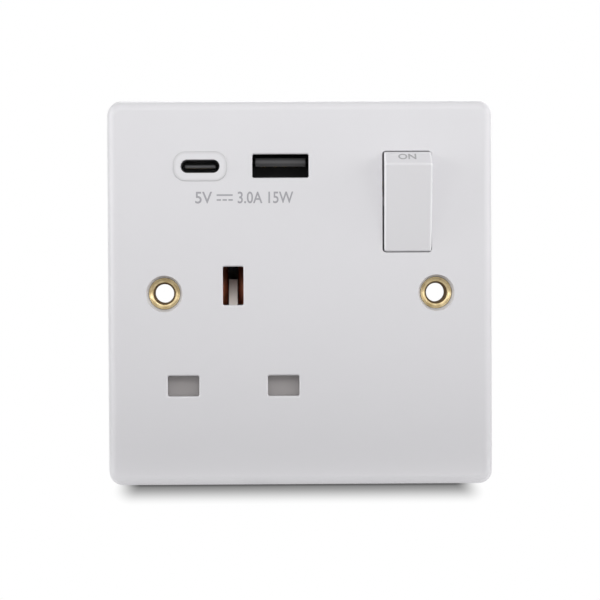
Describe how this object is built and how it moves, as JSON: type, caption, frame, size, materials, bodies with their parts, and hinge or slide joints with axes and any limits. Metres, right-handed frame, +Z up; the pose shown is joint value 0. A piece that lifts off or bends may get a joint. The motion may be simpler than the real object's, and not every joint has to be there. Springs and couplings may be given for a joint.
{
  "type": "usb wall socket",
  "caption": "Square white wall socket plate with one switched three-pin outlet behind a sliding shutter, two charging ports, a rocker switch and a rear housing.",
  "frame": {"origin": "on the wall plane, midway between the two fixing holes", "axes": "+X right and +Z up as seen from the front, +Y into the wall"},
  "size_m": [0.086, 0.0347, 0.086],
  "materials": {
    "white_plastic": "satin",
    "housing_plastic": "matte",
    "shutter_plastic": "matte",
    "plunger_plastic": "matte",
    "brass": "polished",
    "copper": "satin",
    "silver": "polished",
    "steel": "plated",
    "port_shell": "black plated",
    "port_tongue": "matte",
    "board": "solder mask",
    "ferrite": "matte",
    "winding_tape": "satin",
    "can_sleeve": "satin",
    "chip_resin": "matte"
  },
  "bodies": {
    "base": {"front_plate": "white_plastic", "usb_c_insert": "white_plastic", "rear_housing": "housing_plastic", "fixing_eyelet_left": "brass", "fixing_eyelet_right": "brass", "earth_strap": "brass", "live_contact": "brass", "neutral_contact": "brass", "earth_terminal": "brass", "live_terminal": "brass", "neutral_terminal": "brass", "neutral_strip": "brass", "live_feed_strip": "brass", "live_load_strip": "brass", "live_supply_pin": "brass", "neutral_supply_pin": "brass", "earth_contact": "copper", "fixed_contact_tip": "silver", "shutter_spring": "steel", "housing_screws": "steel", "usb_c_shell": "port_shell", "usb_a_shell": "port_shell", "usb_c_tongue": "port_tongue", "usb_a_tongue": "port_tongue", "charger_board": "board", "transformer_core": "ferrite", "transformer_winding": "winding_tape", "input_capacitor": "can_sleeve", "output_capacitor": "can_sleeve", "rectifier": "chip_resin", "controller_chip": "chip_resin"},
    "rocker": {"rocker": "white_plastic", "plunger_spring": "steel"},
    "plunger": {"switch_plunger": "plunger_plastic"},
    "contact_lever": {"moving_contact": "brass", "moving_contact_tip": "silver"},
    "shutter": {"shutter": "shutter_plastic"},
    "earth_screw": {"earth_terminal_screw": "steel"},
    "live_screw": {"live_terminal_screw": "steel"},
    "neutral_screw": {"neutral_terminal_screw": "steel"}
  },
  "joints": [
    {"name": "rocker_tilt", "type": "hinge", "parent": "base", "child": "rocker", "pos_m": [0.0237, -0.00456, 0.0202], "axis": [1, 0, 0], "range_deg": [-25, 0]},
    {"name": "plunger_slide", "type": "slide", "parent": "rocker", "child": "plunger", "axis": [0, -0.9763, -0.2164], "range_m": [0, 0.0006], "stiffness_N_per_m": 300, "springref_m": -0.003, "deforming": ["plunger_spring"]},
    {"name": "lever_tilt", "type": "hinge", "parent": "base", "child": "contact_lever", "pos_m": [0.0237, 0.00414, 0.0202], "axis": [1, 0, 0], "range_deg": [0, 16]},
    {"name": "shutter_slide", "type": "slide", "parent": "base", "child": "shutter", "axis": [0, 0, -1], "range_m": [0, 0.0056], "stiffness_N_per_m": 100, "springref_m": -0.003, "deforming": ["shutter_spring"]},
    {"name": "earth_screw_feed", "type": "slide", "parent": "base", "child": "earth_screw", "axis": [0, -1, 0], "range_m": [0, 0.0028]},
    {"name": "live_screw_feed", "type": "slide", "parent": "base", "child": "live_screw", "axis": [0, -1, 0], "range_m": [0, 0.0028]},
    {"name": "neutral_screw_feed", "type": "slide", "parent": "base", "child": "neutral_screw", "axis": [0, -1, 0], "range_m": [0, 0.0028]}
  ],
  "couplings": [
    {"joint": "lever_tilt", "follows": "rocker_tilt", "ratio": -0.64}
  ]
}
